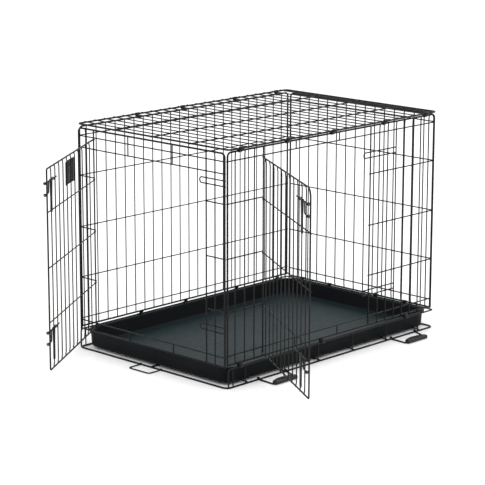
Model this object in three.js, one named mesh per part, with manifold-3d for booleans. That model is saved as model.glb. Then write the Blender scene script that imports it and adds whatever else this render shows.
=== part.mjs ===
// A fold-and-carry wire dog crate with a front door, a side door and a slide-out plastic tray.
// Millimetres, +Z up. The origin is on the floor at the middle of the base.
// The front end is at -X, the side door and the carry handles are on the near side at -Y.
import * as THREE from 'three';
import { mergeVertices } from 'three/addons/utils/BufferGeometryUtils.js';
import Module from 'manifold-3d';

const wasm = await Module();
wasm.setup();

const deg = (degrees) => (degrees * Math.PI) / 180;

// Driving dimensions.
const LENGTH = 914;
const WIDTH = 616;
const TOP_Z = 674;
const PITCH = LENGTH / 24;

// Wire radii.
const FILL_R = 1.5;
const FRAME_R = 2.2;
const TOP_R = 2.0;
const POST_R = 2.0;
const HOOP_R = 2.1;
const BASE_R = 2.5;
const RAIL_R = 2.0;
const SIDES = 4;
const ROUND_SIDES = 8;

// The two layers of a panel, measured outward from its middle plane.
const UPRIGHT_LAYER = 1.65;
const CROSS_LAYER = -1.95;

// Panel planes and heights.
const SIDE_Y = 300;
const SIDE_POST_X = 447.1;
const END_X = 453.8;
const FRONT_POST_Y = 296;
const BACK_POST_Y = 293;
const SIDE_BOTTOM_Z = 67;
const SIDE_RAIL_Z = 666;
const END_BOTTOM_Z = 62;
const END_RAIL_Z = 664;
const CORNER_R = 12;
const STRIP_Z = [217, 369, 523];
const SIDE_CROSS_Z = [92, 641];
const FRONT_CROSS_Z = [88, 607, 641];
const BACK_CROSS_Z = [88, 642];
const BACK_UPRIGHTS = 14;

// Doors: the hinge post, the width from post to latch edge, and the heights of the cross wires.
const DOOR_WIDTH = 451;
const DOOR_GAP = 6;
const DOOR_BOTTOM_Z = 76;
const DOOR_TOP_Z = 636;
const DOOR_CROSS_Z = [212, 364, 518];
const DOOR_UPRIGHTS = 12;
const DOOR_LAYER = 1.95;
const DOOR_CROSS_LAYER = -1.0;
const DOOR_CORNER_R = 6;
const SIDE_DOOR_TOP_CORNER_R = 24;
const FRONT_HINGE_Y = 232;
const SIDE_HINGE_X = -305;
const FRONT_SHORT_WIRES_Y = [-90, 90];
const SIDE_SHORT_WIRES_SPREAD = 92;
const FRONT_DOOR_OPEN = 58;
const SIDE_DOOR_OPEN = 121;
const EYE_INNER_R = 2.9;
const EYE_OUTER_R = 4.2;
const EYE_LENGTH = 4.2;
const EYE_REACH = 3.2;

// Slide bolts on the doors, with their paddles, and the keeper loops on the panels.
const BOLT_Z = [165, 580];
const BOLT_R = 2.0;
const BOLT_LAYER = 7.6;
const BOLT_RISE = 16;
const BOLT_BACK_U = 345;
const BOLT_BRANCH_U = 418;
const BOLT_TIP_U = 452;
const BOLT_BEND_R = 5;
const PADDLE_U = 394.8;
const PADDLE_LENGTH = 87;
const PADDLE_TOP_W = 17;
const PADDLE_TIP_W = 10;
const PADDLE_T = 4;
const KEEPER_RISE = 8;
const KEEPER_REACH = 27;
const KEEPER_CORNER = 4;

// Base and tray.
const BASE_X = 454.5;
const BASE_Y = WIDTH / 2 - BASE_R;
const BASE_RAIL_Z = 56;
const BASE_CORNER_R = 16;
const BASE_RAIL_CORNER_R = 9;
const BASE_FRONT_POST_X = -BASE_X + 6;
const BASE_SECOND_POST_X = -BASE_X + 24;
const BASE_POST_PITCHES = [2, 6, 10, 14, 18, 22];
const BASE_BACK_POSTS_Y = [-250, -150, -50, 50, 150, 250];
const FLOOR_WIRE_SHIFT = 8;
const FLOOR_WIRE_Z = 5.2;
const RAIL_LOOP_PITCHES = [7.7, 15.8];
const RAIL_LOOP_R = 1.3;
const RAIL_LOOP = [
  [-4, 0],
  [-7, -14],
  [-5, -20],
  [0, -23],
  [5, -20],
  [7, -14],
  [4, 0],
];
const TRAY_X = 448.5;
const TRAY_Y = 299;
const TRAY_BOTTOM_Z = 7;
const TRAY_TOP_Z = 57;
const TRAY_CORNER_R = 30;
const TRAY_FLOOR_T = 2.6;

// Top panel.
const TOP_EDGE_X = SIDE_POST_X;
const TOP_EDGE_Y = 306.8;
const TOP_LONG_WIRES_Y = [-154, 0, 154];

// Clips, in wire pitches from the front; those at the back in its own pitches from the middle.
const CLIP_LENGTH = 16;
const CLIP_WALL = 1.3;
const CLIP_PLAY = 0.35;
const CLIP_OPENING = 20;
const TOP_HOOK_LIP = 0.8;
const BASE_HOOK_LIP = 0.5;
const FAR_CLIPS = [6.5, 11.5, 17.5, 22.5];
const NEAR_TOP_CLIPS = [1.5, 6.5, 11.5, 17.5, 22.5];
const NEAR_BASE_CLIPS = [1.5, 10.5, 20.5];
const BACK_CLIPS = [-5, -2, 3, 6];

// Carry handles.
const HANDLE_X = [-271, 312];
const HANDLE_ROOT_W = 112;
const HANDLE_TIP_W = 92;
const HANDLE_REACH = 64;
const HANDLE_WIRE_R = 2.4;
const HANDLE_BEND_R = 9;
const HANDLE_SKEW = 14;
const GRIP_HALF_D = 7;
const GRIP_END_BULGE = 5;
const GRIP_END_GAP = 4;
const GRIP_ARCH = 34;
const GRIP_T = 12;
const GRIP_FLOOR_GAP = 0.1;

// Feet that turn on a floor wire, and the pan stop.
const FOOT_WALL = 1.3;
const FOOT_LENGTH = 5;
const FOOT_ROOT = 3.4;
const STOP_HALF_W = 42;
const STOP_REACH = 48;
const STOP_R = 1.8;
const STOP_BEND_R = 8;
const STOP_FOOT_ARC = [deg(-110), deg(30)];
const HANDLE_FOOT_ARC = [deg(60), deg(200)];

// Paddle eye, door collar and badge plate.
const PADDLE_BORE_R = 2.6;
const PADDLE_EYE_OVERLAP = 0.6;
const PADDLE_EYE_R = 3.9;
const PADDLE_EYE_W = 14;
const COLLAR_Z = 81.6;
const BADGE_U = 220;
const BADGE_W = 92;
const BADGE_H = 68;
const BADGE_Z = 586;
const BADGE_BOW = 5;
const BADGE_T = 1.8;

const crate = new THREE.Group();

const paint = new THREE.MeshStandardMaterial({ color: 0x101112, roughness: 0.42, metalness: 0.6 });
const clipPaint = new THREE.MeshStandardMaterial({ color: 0x0c0c0d, roughness: 0.35, metalness: 0.7 });
const trayPlastic = new THREE.MeshStandardMaterial({ color: 0x2c3538, roughness: 0.55, metalness: 0 });
const blackPlastic = new THREE.MeshStandardMaterial({ color: 0x151617, roughness: 0.5, metalness: 0 });

const v = (x, y, z) => new THREE.Vector3(x, y, z);
const alongX = (pitches) => -LENGTH / 2 + pitches * PITCH;

// A bent wire as a curve whose stations are exactly the points given.
class BentWire extends THREE.Curve {
  constructor(points) {
    super();
    this.points = points;
  }

  at(u) {
    return Math.round(u * (this.points.length - 1));
  }

  getPointAt(u, target = new THREE.Vector3()) {
    return target.copy(this.points[this.at(u)]);
  }

  getTangentAt(u, target = new THREE.Vector3()) {
    const i = this.at(u);
    const before = this.points[Math.max(i - 1, 0)];
    const here = this.points[i];
    const after = this.points[Math.min(i + 1, this.points.length - 1)];
    const arriving = here.clone().sub(before).normalize();
    const leaving = after.clone().sub(here).normalize();
    return target.copy(arriving).add(leaving).normalize();
  }
}

// The points of a path with its corners rounded to the radius given.
function rounded(corners, radius, steps = 3) {
  const points = [corners[0]];
  for (let i = 1; i < corners.length - 1; i += 1) {
    const corner = corners[i];
    const back = corners[i - 1].clone().sub(corner).normalize();
    const ahead = corners[i + 1].clone().sub(corner).normalize();
    const halfAngle = back.angleTo(ahead) / 2;
    const cut = radius / Math.tan(halfAngle);
    const centre = back.clone().add(ahead).normalize().multiplyScalar(radius / Math.sin(halfAngle)).add(corner);
    const start = back.clone().multiplyScalar(cut).add(corner).sub(centre);
    const end = ahead.clone().multiplyScalar(cut).add(corner).sub(centre);
    const sweep = start.angleTo(end);
    for (let k = 0; k <= steps; k += 1) {
      const a = Math.sin(sweep * (1 - k / steps)) / Math.sin(sweep);
      const b = Math.sin((sweep * k) / steps) / Math.sin(sweep);
      points.push(start.clone().multiplyScalar(a).addScaledVector(end, b).add(centre));
    }
  }
  points.push(corners[corners.length - 1]);
  return points;
}

// The corner radius and the half width across flats of a regular outline with the area of a round wire.
const cornerRadius = (radius, sides) => {
  const sector = (2 * Math.PI) / sides;
  return radius * Math.sqrt(sector / Math.sin(sector));
};
const halfFlat = (radius, sides) => cornerRadius(radius, sides) * Math.cos(Math.PI / sides);

// That outline, with a flat side down.
function roundSection(radius, sides) {
  const outline = [];
  for (let i = 0; i < sides; i += 1) {
    const angle = ((i + 0.5) * 2 * Math.PI) / sides;
    const reach = cornerRadius(radius, sides);
    outline.push(new THREE.Vector2(reach * Math.cos(angle), reach * Math.sin(angle)));
  }
  return new THREE.Shape(outline);
}

function bentWire(points, radius, sides = SIDES) {
  return new THREE.ExtrudeGeometry(roundSection(radius, sides), {
    steps: points.length - 1,
    bevelEnabled: false,
    extrudePath: new BentWire(points),
  });
}

function straightWire(from, to, radius = FILL_R, sides = SIDES) {
  return bentWire([from, to], radius, sides);
}

// A profile pushed along an axis: 'x' takes profile points as (y, z), 'z' takes them as (x, y).
function pushed(shape, length, axis) {
  const solid = new THREE.ExtrudeGeometry(shape, { depth: length, bevelEnabled: false, curveSegments: 4 });
  solid.translate(0, 0, -length / 2);
  if (axis === 'x') {
    solid.applyMatrix4(new THREE.Matrix4().makeBasis(v(0, 1, 0), v(0, 0, 1), v(1, 0, 0)));
  }
  if (axis === 'y') {
    solid.applyMatrix4(new THREE.Matrix4().makeBasis(v(0, 0, 1), v(1, 0, 0), v(0, 1, 0)));
  }
  return solid;
}

function toSolid(geometry) {
  const bare = geometry.clone();
  bare.deleteAttribute('normal');
  bare.deleteAttribute('uv');
  const welded = mergeVertices(bare, 1e-4);
  return new wasm.Manifold(
    new wasm.Mesh({
      numProp: 3,
      vertProperties: new Float32Array(welded.attributes.position.array),
      triVerts: new Uint32Array(welded.index.array),
    }),
  );
}

function toGeometry(solid) {
  const mesh = solid.getMesh();
  const geometry = new THREE.BufferGeometry();
  geometry.setAttribute('position', new THREE.BufferAttribute(mesh.vertProperties, 3));
  geometry.setIndex(new THREE.BufferAttribute(mesh.triVerts, 1));
  return geometry;
}

function join(geometries) {
  return toGeometry(geometries.map(toSolid).reduce((sum, solid) => sum.add(solid)));
}

function cut(body, tool) {
  return toGeometry(toSolid(body).subtract(toSolid(tool)));
}

// A closed ring of wire from the half of it at +X, whose ends are on the plane x = 0.
function ringFromHalf(half) {
  const positions = half.attributes.position;
  for (let i = 0; i < positions.count; i += 1) {
    if (Math.abs(positions.getX(i)) < 1e-3) {
      positions.setX(i, 0);
    }
  }
  const solid = toSolid(half);
  return toGeometry(solid.add(solid.mirror([1, 0, 0])));
}

function place(name, geometry, material, parent = crate) {
  const mesh = new THREE.Mesh(geometry, material);
  mesh.name = name;
  parent.add(mesh);
  return mesh;
}

// A frame with rounded top corners and a straight bottom rail, in the plane that `at(across, height)` gives.
function panelFrame(at, halfWidth, bottom, top) {
  const hoop = [at(-halfWidth, bottom), at(-halfWidth, top), at(halfWidth, top), at(halfWidth, bottom)];
  return [
    bentWire(rounded(hoop, CORNER_R, 2), FRAME_R),
    straightWire(at(-halfWidth - 1, bottom), at(halfWidth + 1, bottom), FRAME_R),
  ];
}

// Upright wires between two heights, and cross wires between two places, on their layers of a panel.
const uprights = (at, places, low, high, layer = UPRIGHT_LAYER) =>
  places.map((place) => straightWire(at(place, low, layer), at(place, high, layer)));
const crossWires = (at, heights, from, to) =>
  heights.map((height) => straightWire(at(from, height, CROSS_LAYER), at(to, height, CROSS_LAYER)));

// The loop that a slide bolt works in: two wires from the corner post, joined by a round tip in the doorway.
function keeper(at, height, root, tip) {
  const inward = Math.sign(tip - root);
  const path = [
    at(root, height + KEEPER_RISE, CROSS_LAYER),
    at(tip - inward * KEEPER_CORNER, height + KEEPER_RISE, CROSS_LAYER),
    at(tip, height + KEEPER_RISE - KEEPER_CORNER, CROSS_LAYER),
    at(tip, height - KEEPER_RISE + KEEPER_CORNER, CROSS_LAYER),
    at(tip - inward * KEEPER_CORNER, height - KEEPER_RISE, CROSS_LAYER),
    at(root, height - KEEPER_RISE, CROSS_LAYER),
  ];
  return bentWire(path, FILL_R);
}

// Far side: a full grille.
const farAt = (x, z, out = 0) => v(x, SIDE_Y + out, z);
const farUprights = Array.from({ length: 23 }, (_, i) => alongX(i + 1));
place(
  'far_side_panel',
  join([
    ...panelFrame(farAt, SIDE_POST_X, SIDE_BOTTOM_Z, SIDE_RAIL_Z),
    ...uprights(farAt, farUprights, SIDE_BOTTOM_Z, SIDE_RAIL_Z),
    ...crossWires(farAt, [...SIDE_CROSS_Z, ...STRIP_Z], -SIDE_POST_X, SIDE_POST_X),
  ]),
  paint,
);

// Near side: the same grille with the side doorway.
const nearAt = (x, z, out = 0) => v(x, -SIDE_Y - out, z);
const sideLatchX = SIDE_HINGE_X + DOOR_WIDTH + DOOR_GAP;
const doorwayMiddleX = (SIDE_HINGE_X + sideLatchX) / 2;
const nearUprights = farUprights.filter((x) => x < SIDE_HINGE_X - PITCH / 2 || x > sideLatchX + PITCH / 2);
const nearShorts = [-1, 1].map((side) => doorwayMiddleX + side * SIDE_SHORT_WIRES_SPREAD);
place(
  'near_side_panel',
  join([
    ...panelFrame(nearAt, SIDE_POST_X, SIDE_BOTTOM_Z, SIDE_RAIL_Z),
    ...uprights(nearAt, nearUprights, SIDE_BOTTOM_Z, SIDE_RAIL_Z),
    ...crossWires(nearAt, SIDE_CROSS_Z, -SIDE_POST_X, SIDE_POST_X),
    ...crossWires(nearAt, STRIP_Z, -SIDE_POST_X, SIDE_HINGE_X),
    ...crossWires(nearAt, STRIP_Z, sideLatchX, SIDE_POST_X),
    ...uprights(nearAt, nearShorts, SIDE_BOTTOM_Z, SIDE_CROSS_Z[0], CROSS_LAYER),
    ...uprights(nearAt, nearShorts, SIDE_CROSS_Z[1], SIDE_RAIL_Z, CROSS_LAYER),
    straightWire(nearAt(SIDE_HINGE_X, SIDE_BOTTOM_Z), nearAt(SIDE_HINGE_X, SIDE_RAIL_Z), POST_R),
    straightWire(nearAt(sideLatchX, SIDE_BOTTOM_Z), nearAt(sideLatchX, SIDE_RAIL_Z), POST_R),
    ...BOLT_Z.map((z) => keeper(nearAt, z, sideLatchX + 3 * PITCH, sideLatchX - KEEPER_REACH)),
  ]),
  paint,
);

// Front end: the front doorway.
const frontAt = (y, z, out = 0) => v(-END_X - out, y, z);
const frontLatchY = FRONT_HINGE_Y - DOOR_WIDTH - DOOR_GAP;
const frontUprights = [(frontLatchY - FRONT_POST_Y) / 2, (FRONT_HINGE_Y + FRONT_POST_Y) / 2];
place(
  'front_end_panel',
  join([
    ...panelFrame(frontAt, FRONT_POST_Y, END_BOTTOM_Z, END_RAIL_Z),
    ...uprights(frontAt, frontUprights, END_BOTTOM_Z, END_RAIL_Z),
    ...crossWires(frontAt, FRONT_CROSS_Z, -FRONT_POST_Y, FRONT_POST_Y),
    ...crossWires(frontAt, STRIP_Z, -FRONT_POST_Y, frontLatchY),
    ...crossWires(frontAt, STRIP_Z, FRONT_HINGE_Y, FRONT_POST_Y),
    ...uprights(frontAt, FRONT_SHORT_WIRES_Y, END_BOTTOM_Z, FRONT_CROSS_Z[0], CROSS_LAYER),
    ...uprights(frontAt, FRONT_SHORT_WIRES_Y, FRONT_CROSS_Z[1], END_RAIL_Z, CROSS_LAYER),
    straightWire(frontAt(FRONT_HINGE_Y, END_BOTTOM_Z), frontAt(FRONT_HINGE_Y, END_RAIL_Z), POST_R),
    straightWire(frontAt(frontLatchY, END_BOTTOM_Z), frontAt(frontLatchY, END_RAIL_Z), POST_R),
    ...BOLT_Z.map((z) => keeper(frontAt, z, -FRONT_POST_Y, frontLatchY + KEEPER_REACH)),
  ]),
  paint,
);

// Back end: a full grille.
const backAt = (y, z, out = 0) => v(END_X + out, y, z);
const backPitch = (2 * BACK_POST_Y) / (BACK_UPRIGHTS + 1);
const backUprights = Array.from({ length: BACK_UPRIGHTS }, (_, i) => -BACK_POST_Y + (i + 1) * backPitch);
place(
  'back_end_panel',
  join([
    ...panelFrame(backAt, BACK_POST_Y, END_BOTTOM_Z, END_RAIL_Z),
    ...uprights(backAt, backUprights, END_BOTTOM_Z, END_RAIL_Z),
    ...crossWires(backAt, [...BACK_CROSS_Z, ...STRIP_Z], -BACK_POST_Y, BACK_POST_Y),
  ]),
  paint,
);

// Top panel: long wires under, cross wires over, in a frame.
const topCorners = [
  v(0, -TOP_EDGE_Y, TOP_Z),
  v(TOP_EDGE_X, -TOP_EDGE_Y, TOP_Z),
  v(TOP_EDGE_X, TOP_EDGE_Y, TOP_Z),
  v(0, TOP_EDGE_Y, TOP_Z),
];
place(
  'top_panel',
  join([
    ringFromHalf(bentWire(rounded(topCorners, CORNER_R, 2), TOP_R)),
    ...farUprights.map((x) =>
      straightWire(v(x, -TOP_EDGE_Y, TOP_Z + UPRIGHT_LAYER), v(x, TOP_EDGE_Y, TOP_Z + UPRIGHT_LAYER)),
    ),
    ...TOP_LONG_WIRES_Y.map((y) =>
      straightWire(v(-TOP_EDGE_X, y, TOP_Z + CROSS_LAYER), v(TOP_EDGE_X, y, TOP_Z + CROSS_LAYER)),
    ),
  ]),
  paint,
);

// Base: a floor ring, low walls at the sides and back, floor wires, and small loops on the far rail.
const FLOOR_Z = halfFlat(BASE_R, ROUND_SIDES);
const floorRing = [
  v(0, -BASE_Y, FLOOR_Z),
  v(BASE_X, -BASE_Y, FLOOR_Z),
  v(BASE_X, BASE_Y, FLOOR_Z),
  v(0, BASE_Y, FLOOR_Z),
];
const wallRail = [
  v(BASE_FRONT_POST_X, -BASE_Y, FLOOR_Z),
  v(BASE_FRONT_POST_X, -BASE_Y, BASE_RAIL_Z),
  v(BASE_X, -BASE_Y, BASE_RAIL_Z),
  v(BASE_X, BASE_Y, BASE_RAIL_Z),
  v(BASE_FRONT_POST_X, BASE_Y, BASE_RAIL_Z),
  v(BASE_FRONT_POST_X, BASE_Y, FLOOR_Z),
];
const wallPosts = BASE_POST_PITCHES.map(alongX);
const floorWires = wallPosts.map((x) => x + FLOOR_WIRE_SHIFT);
const railLoop = (x) =>
  bentWire(
    RAIL_LOOP.map(([across, rise]) => v(x + across, BASE_Y, BASE_RAIL_Z + rise)),
    RAIL_LOOP_R,
  );
place(
  'base_frame',
  join([
    ringFromHalf(bentWire(rounded(floorRing, BASE_CORNER_R), BASE_R, ROUND_SIDES)),
    straightWire(v(-BASE_X, 0, FLOOR_Z), v(BASE_X, 0, FLOOR_Z), BASE_R, ROUND_SIDES),
    bentWire(rounded(wallRail, BASE_RAIL_CORNER_R), RAIL_R, ROUND_SIDES),
    ...[-BASE_Y, BASE_Y].flatMap((y) => [
      ...[BASE_SECOND_POST_X, ...wallPosts].map((x) => straightWire(v(x, y, FLOOR_Z), v(x, y, BASE_RAIL_Z))),
    ]),
    ...BASE_BACK_POSTS_Y.map((y) => straightWire(v(BASE_X, y, FLOOR_Z), v(BASE_X, y, BASE_RAIL_Z))),
    ...floorWires.map((x) => straightWire(v(x, -BASE_Y, FLOOR_WIRE_Z), v(x, BASE_Y, FLOOR_WIRE_Z))),
    ...RAIL_LOOP_PITCHES.map(alongX).map(railLoop),
  ]),
  paint,
);

// Tray: a shallow pan with sloping walls and a flat rim, as rings of one rounded rectangle.
function trayGeometry() {
  // Inset from the rim and height of each ring, outside first.
  const rings = [
    [15, TRAY_BOTTOM_Z],
    [9, TRAY_BOTTOM_Z + 4],
    [6, TRAY_TOP_Z - 4],
    [0, TRAY_TOP_Z - 3],
    [0, TRAY_TOP_Z],
    [8, TRAY_TOP_Z],
    [12, TRAY_BOTTOM_Z + 6],
    [18, TRAY_BOTTOM_Z + TRAY_FLOOR_T],
  ];
  const cornerSteps = 5;
  const ringSize = 4 * (cornerSteps + 1);
  const positions = [];
  for (const [inset, z] of rings) {
    const radius = TRAY_CORNER_R - inset;
    for (let corner = 0; corner < 4; corner += 1) {
      const sx = corner === 0 || corner === 3 ? 1 : -1;
      const sy = corner < 2 ? 1 : -1;
      for (let k = 0; k <= cornerSteps; k += 1) {
        const angle = (corner + k / cornerSteps) * (Math.PI / 2);
        positions.push(sx * (TRAY_X - TRAY_CORNER_R) + radius * Math.cos(angle));
        positions.push(sy * (TRAY_Y - TRAY_CORNER_R) + radius * Math.sin(angle));
        positions.push(z);
      }
    }
  }
  const faces = [];
  for (let ring = 0; ring < rings.length - 1; ring += 1) {
    for (let i = 0; i < ringSize; i += 1) {
      const a = ring * ringSize + i;
      const b = ring * ringSize + ((i + 1) % ringSize);
      faces.push(a, b, b + ringSize, a, b + ringSize, a + ringSize);
    }
  }
  const underside = positions.length / 3;
  positions.push(0, 0, rings[0][1]);
  const floor = underside + 1;
  positions.push(0, 0, rings[rings.length - 1][1]);
  const last = (rings.length - 1) * ringSize;
  for (let i = 0; i < ringSize; i += 1) {
    const next = (i + 1) % ringSize;
    faces.push(underside, next, i);
    faces.push(floor, last + i, last + next);
  }
  const geometry = new THREE.BufferGeometry();
  geometry.setAttribute('position', new THREE.Float32BufferAttribute(positions, 3));
  geometry.setIndex(faces);
  return geometry;
}
place('tray', trayGeometry(), trayPlastic);

// A shape's outline round two wires that run side by side.
function stadium(a, b, radius, outline) {
  const tilt = Math.atan2(b.y - a.y, b.x - a.x);
  outline.absarc(b.x, b.y, radius, tilt - Math.PI / 2, tilt + Math.PI / 2);
  outline.absarc(a.x, a.y, radius, tilt + Math.PI / 2, tilt + 1.5 * Math.PI);
  return outline;
}

// A clip closed round two wires along `axis`: its plane points are (y, z) for 'x' and (z, x) for 'y'.
function clip(a, b, wireR, axis) {
  const inner = cornerRadius(wireR, SIDES) + CLIP_PLAY;
  const outline = stadium(a, b, inner + CLIP_WALL, new THREE.Shape());
  outline.holes.push(stadium(a, b, inner, new THREE.Path()));
  return pushed(outline, CLIP_LENGTH, axis);
}

// A short closed sleeve round a wire that runs along `axis`.
function sleeve(centre, axis, inner, outer, length) {
  const ring = new THREE.Shape().absarc(0, 0, outer, 0, Math.PI * 2);
  ring.holes.push(new THREE.Path().absarc(0, 0, inner, 0, Math.PI * 2));
  return pushed(ring, length, axis).translate(centre.x, centre.y, centre.z);
}

// A foot that turns on a floor wire: part of a sleeve, open towards the floor.
function foot(centre, axis, from, to) {
  const inner = cornerRadius(BASE_R, ROUND_SIDES) + CLIP_PLAY;
  const hook = new THREE.Shape();
  hook.absarc(0, 0, inner + FOOT_WALL, from, to, false);
  hook.absarc(0, 0, inner, to, from, true);
  return pushed(hook, FOOT_LENGTH, axis).translate(centre.x, centre.y, centre.z);
}

// Pan stop: a wire hoop that turns on the front floor wire, lying lowered.
const stopAt = (reach, y) => v(-BASE_X - reach, y, FLOOR_Z);
const stopHoop = [
  stopAt(FOOT_ROOT, -STOP_HALF_W),
  stopAt(STOP_REACH, -STOP_HALF_W),
  stopAt(STOP_REACH, STOP_HALF_W),
  stopAt(FOOT_ROOT, STOP_HALF_W),
];
place(
  'pan_stop',
  join([
    bentWire(rounded(stopHoop, STOP_BEND_R), STOP_R, ROUND_SIDES),
    ...[-STOP_HALF_W, STOP_HALF_W].map((y) => foot(stopAt(0, y), 'y', ...STOP_FOOT_ARC)),
  ]),
  paint,
);

// Carry handles: a wire bail that turns on the near floor wire, with a moulded grip on its outer bar.
HANDLE_X.forEach((x, i) => {
  const at = (across, reach) => v(x + across, -BASE_Y - reach, FLOOR_Z);
  const half = HANDLE_ROOT_W / 2;
  const tip = HANDLE_TIP_W / 2;
  const bail = [
    at(-half, FOOT_ROOT),
    at(-tip - HANDLE_SKEW, HANDLE_REACH),
    at(tip - HANDLE_SKEW, HANDLE_REACH),
    at(half, FOOT_ROOT),
  ];
  const bailPath = rounded(bail, HANDLE_BEND_R);
  place(
    `carry_handle_wire_${i + 1}`,
    join([
      bentWire(bailPath, HANDLE_WIRE_R, ROUND_SIDES),
      ...[-half, half].map((across) => foot(at(across, 0), 'x', ...HANDLE_FOOT_ARC)),
    ]),
    paint,
  );
  const outline = new THREE.Shape();
  const y = -BASE_Y - HANDLE_REACH;
  const left = x - tip - HANDLE_SKEW + GRIP_END_GAP;
  const right = x + tip - HANDLE_SKEW - GRIP_END_GAP;
  outline.moveTo(left, y - GRIP_HALF_D);
  outline.lineTo(right, y - GRIP_HALF_D);
  outline.quadraticCurveTo(right + GRIP_END_BULGE, y, right, y + GRIP_HALF_D);
  outline.quadraticCurveTo((left + right) / 2, y + GRIP_ARCH, left, y + GRIP_HALF_D);
  outline.quadraticCurveTo(left - GRIP_END_BULGE, y, left, y - GRIP_HALF_D);
  const grip = pushed(outline, GRIP_T, 'z').translate(0, 0, GRIP_T / 2 + GRIP_FLOOR_GAP);
  place(
    `carry_handle_grip_${i + 1}`,
    cut(grip, bentWire(bailPath, HANDLE_WIRE_R + CLIP_PLAY, ROUND_SIDES)),
    blackPlastic,
  );
});

// A door in its own frame: X from the hinge post to the latch edge, -Y outward, Z up.
const doorAt = (u, z, out) => v(u, -out, z);
function doorGeometry(topCornerR) {
  const middleZ = (DOOR_TOP_Z + DOOR_BOTTOM_Z) / 2;
  const middle = doorAt(DOOR_WIDTH, middleZ, DOOR_LAYER);
  const upper = [doorAt(EYE_REACH, DOOR_TOP_Z, DOOR_LAYER), doorAt(DOOR_WIDTH, DOOR_TOP_Z, DOOR_LAYER), middle];
  const lower = [
    middle,
    doorAt(DOOR_WIDTH, DOOR_BOTTOM_Z, DOOR_LAYER),
    doorAt(EYE_REACH, DOOR_BOTTOM_Z, DOOR_LAYER),
  ];
  const hoop = [...rounded(upper, topCornerR).slice(0, -1), ...rounded(lower, DOOR_CORNER_R, 2).slice(1)];
  const spacing = DOOR_WIDTH / DOOR_UPRIGHTS;
  const places = Array.from({ length: DOOR_UPRIGHTS - 1 }, (_, i) => (i + 1) * spacing);
  const eyes = [DOOR_BOTTOM_Z, ...DOOR_CROSS_Z, DOOR_TOP_Z];
  return join([
    bentWire(hoop, HOOP_R),
    ...eyes.map((z) => sleeve(v(0, 0, z), 'z', EYE_INNER_R, EYE_OUTER_R, EYE_LENGTH)),
    ...places.map((u) => straightWire(doorAt(u, DOOR_BOTTOM_Z, DOOR_LAYER), doorAt(u, DOOR_TOP_Z, DOOR_LAYER))),
    ...DOOR_CROSS_Z.map((z) =>
      straightWire(doorAt(EYE_REACH, z, DOOR_CROSS_LAYER), doorAt(DOOR_WIDTH, z, DOOR_CROSS_LAYER)),
    ),
  ]);
}

// A slide bolt: a long upper rod with a branch that turns down and out to the latch edge.
function boltGeometry(z) {
  const at = (u, rise) => doorAt(u, z + rise, BOLT_LAYER);
  const branch = [at(BOLT_BRANCH_U, BOLT_RISE), at(BOLT_BRANCH_U, -BOLT_RISE), at(BOLT_TIP_U, -BOLT_RISE)];
  return join([
    straightWire(at(BOLT_BACK_U, BOLT_RISE), at(BOLT_TIP_U, BOLT_RISE), BOLT_R, ROUND_SIDES),
    bentWire(rounded(branch, BOLT_BEND_R), BOLT_R, ROUND_SIDES),
  ]);
}

// A paddle: a tapered blade hanging from an eye on the bolt's upper rod.
function paddleGeometry(z) {
  const rodZ = z + BOLT_RISE;
  const blade = new THREE.Shape();
  blade.moveTo(-PADDLE_TOP_W / 2, 0);
  blade.lineTo(-PADDLE_TIP_W / 2, -PADDLE_LENGTH);
  blade.lineTo(PADDLE_TIP_W / 2, -PADDLE_LENGTH);
  blade.lineTo(PADDLE_TOP_W / 2, 0);
  const plate = new THREE.ExtrudeGeometry(blade, { depth: PADDLE_T, bevelEnabled: false });
  plate.rotateX(Math.PI / 2);
  plate.translate(PADDLE_U, -BOLT_LAYER + PADDLE_T / 2, rodZ - PADDLE_BORE_R - PADDLE_EYE_OVERLAP);
  return join([sleeve(v(PADDLE_U, -BOLT_LAYER, rodZ), 'x', PADDLE_BORE_R, PADDLE_EYE_R, PADDLE_EYE_W), plate]);
}

// A blank badge plate, bowed a little, on the outside of the front door.
function badgeGeometry() {
  const plate = new THREE.Shape();
  const inside = -DOOR_LAYER - halfFlat(FILL_R, SIDES) - CLIP_PLAY;
  plate.moveTo(BADGE_U - BADGE_W / 2, inside);
  plate.quadraticCurveTo(BADGE_U, inside - BADGE_BOW, BADGE_U + BADGE_W / 2, inside);
  plate.lineTo(BADGE_U + BADGE_W / 2, inside - BADGE_T);
  plate.quadraticCurveTo(BADGE_U, inside - BADGE_BOW - BADGE_T, BADGE_U - BADGE_W / 2, inside - BADGE_T);
  return pushed(plate, BADGE_H, 'z').translate(0, 0, BADGE_Z);
}

function placeDoor(prefix, hinge, closedTurn, open, topCornerR) {
  const door = new THREE.Group();
  door.position.copy(hinge);
  door.rotation.z = deg(closedTurn - open);
  crate.add(door);
  place(`${prefix}_door`, doorGeometry(topCornerR), paint, door);
  ['lower', 'upper'].forEach((level, i) => {
    place(`${prefix}_door_bolt_${level}`, boltGeometry(BOLT_Z[i]), clipPaint, door);
    place(`${prefix}_door_paddle_${level}`, paddleGeometry(BOLT_Z[i]), blackPlastic, door);
  });
  const collar = sleeve(v(hinge.x, hinge.y, COLLAR_Z), 'z', EYE_INNER_R, EYE_OUTER_R, EYE_LENGTH);
  place(`${prefix}_door_collar`, collar, clipPaint);
  return door;
}
const frontDoor = placeDoor('front', v(-END_X, FRONT_HINGE_Y, 0), -90, FRONT_DOOR_OPEN, DOOR_CORNER_R);
place('badge_plate', badgeGeometry(), blackPlastic, frontDoor);
placeDoor('side', v(SIDE_HINGE_X, -SIDE_Y, 0), 0, SIDE_DOOR_OPEN, SIDE_DOOR_TOP_CORNER_R);

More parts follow.
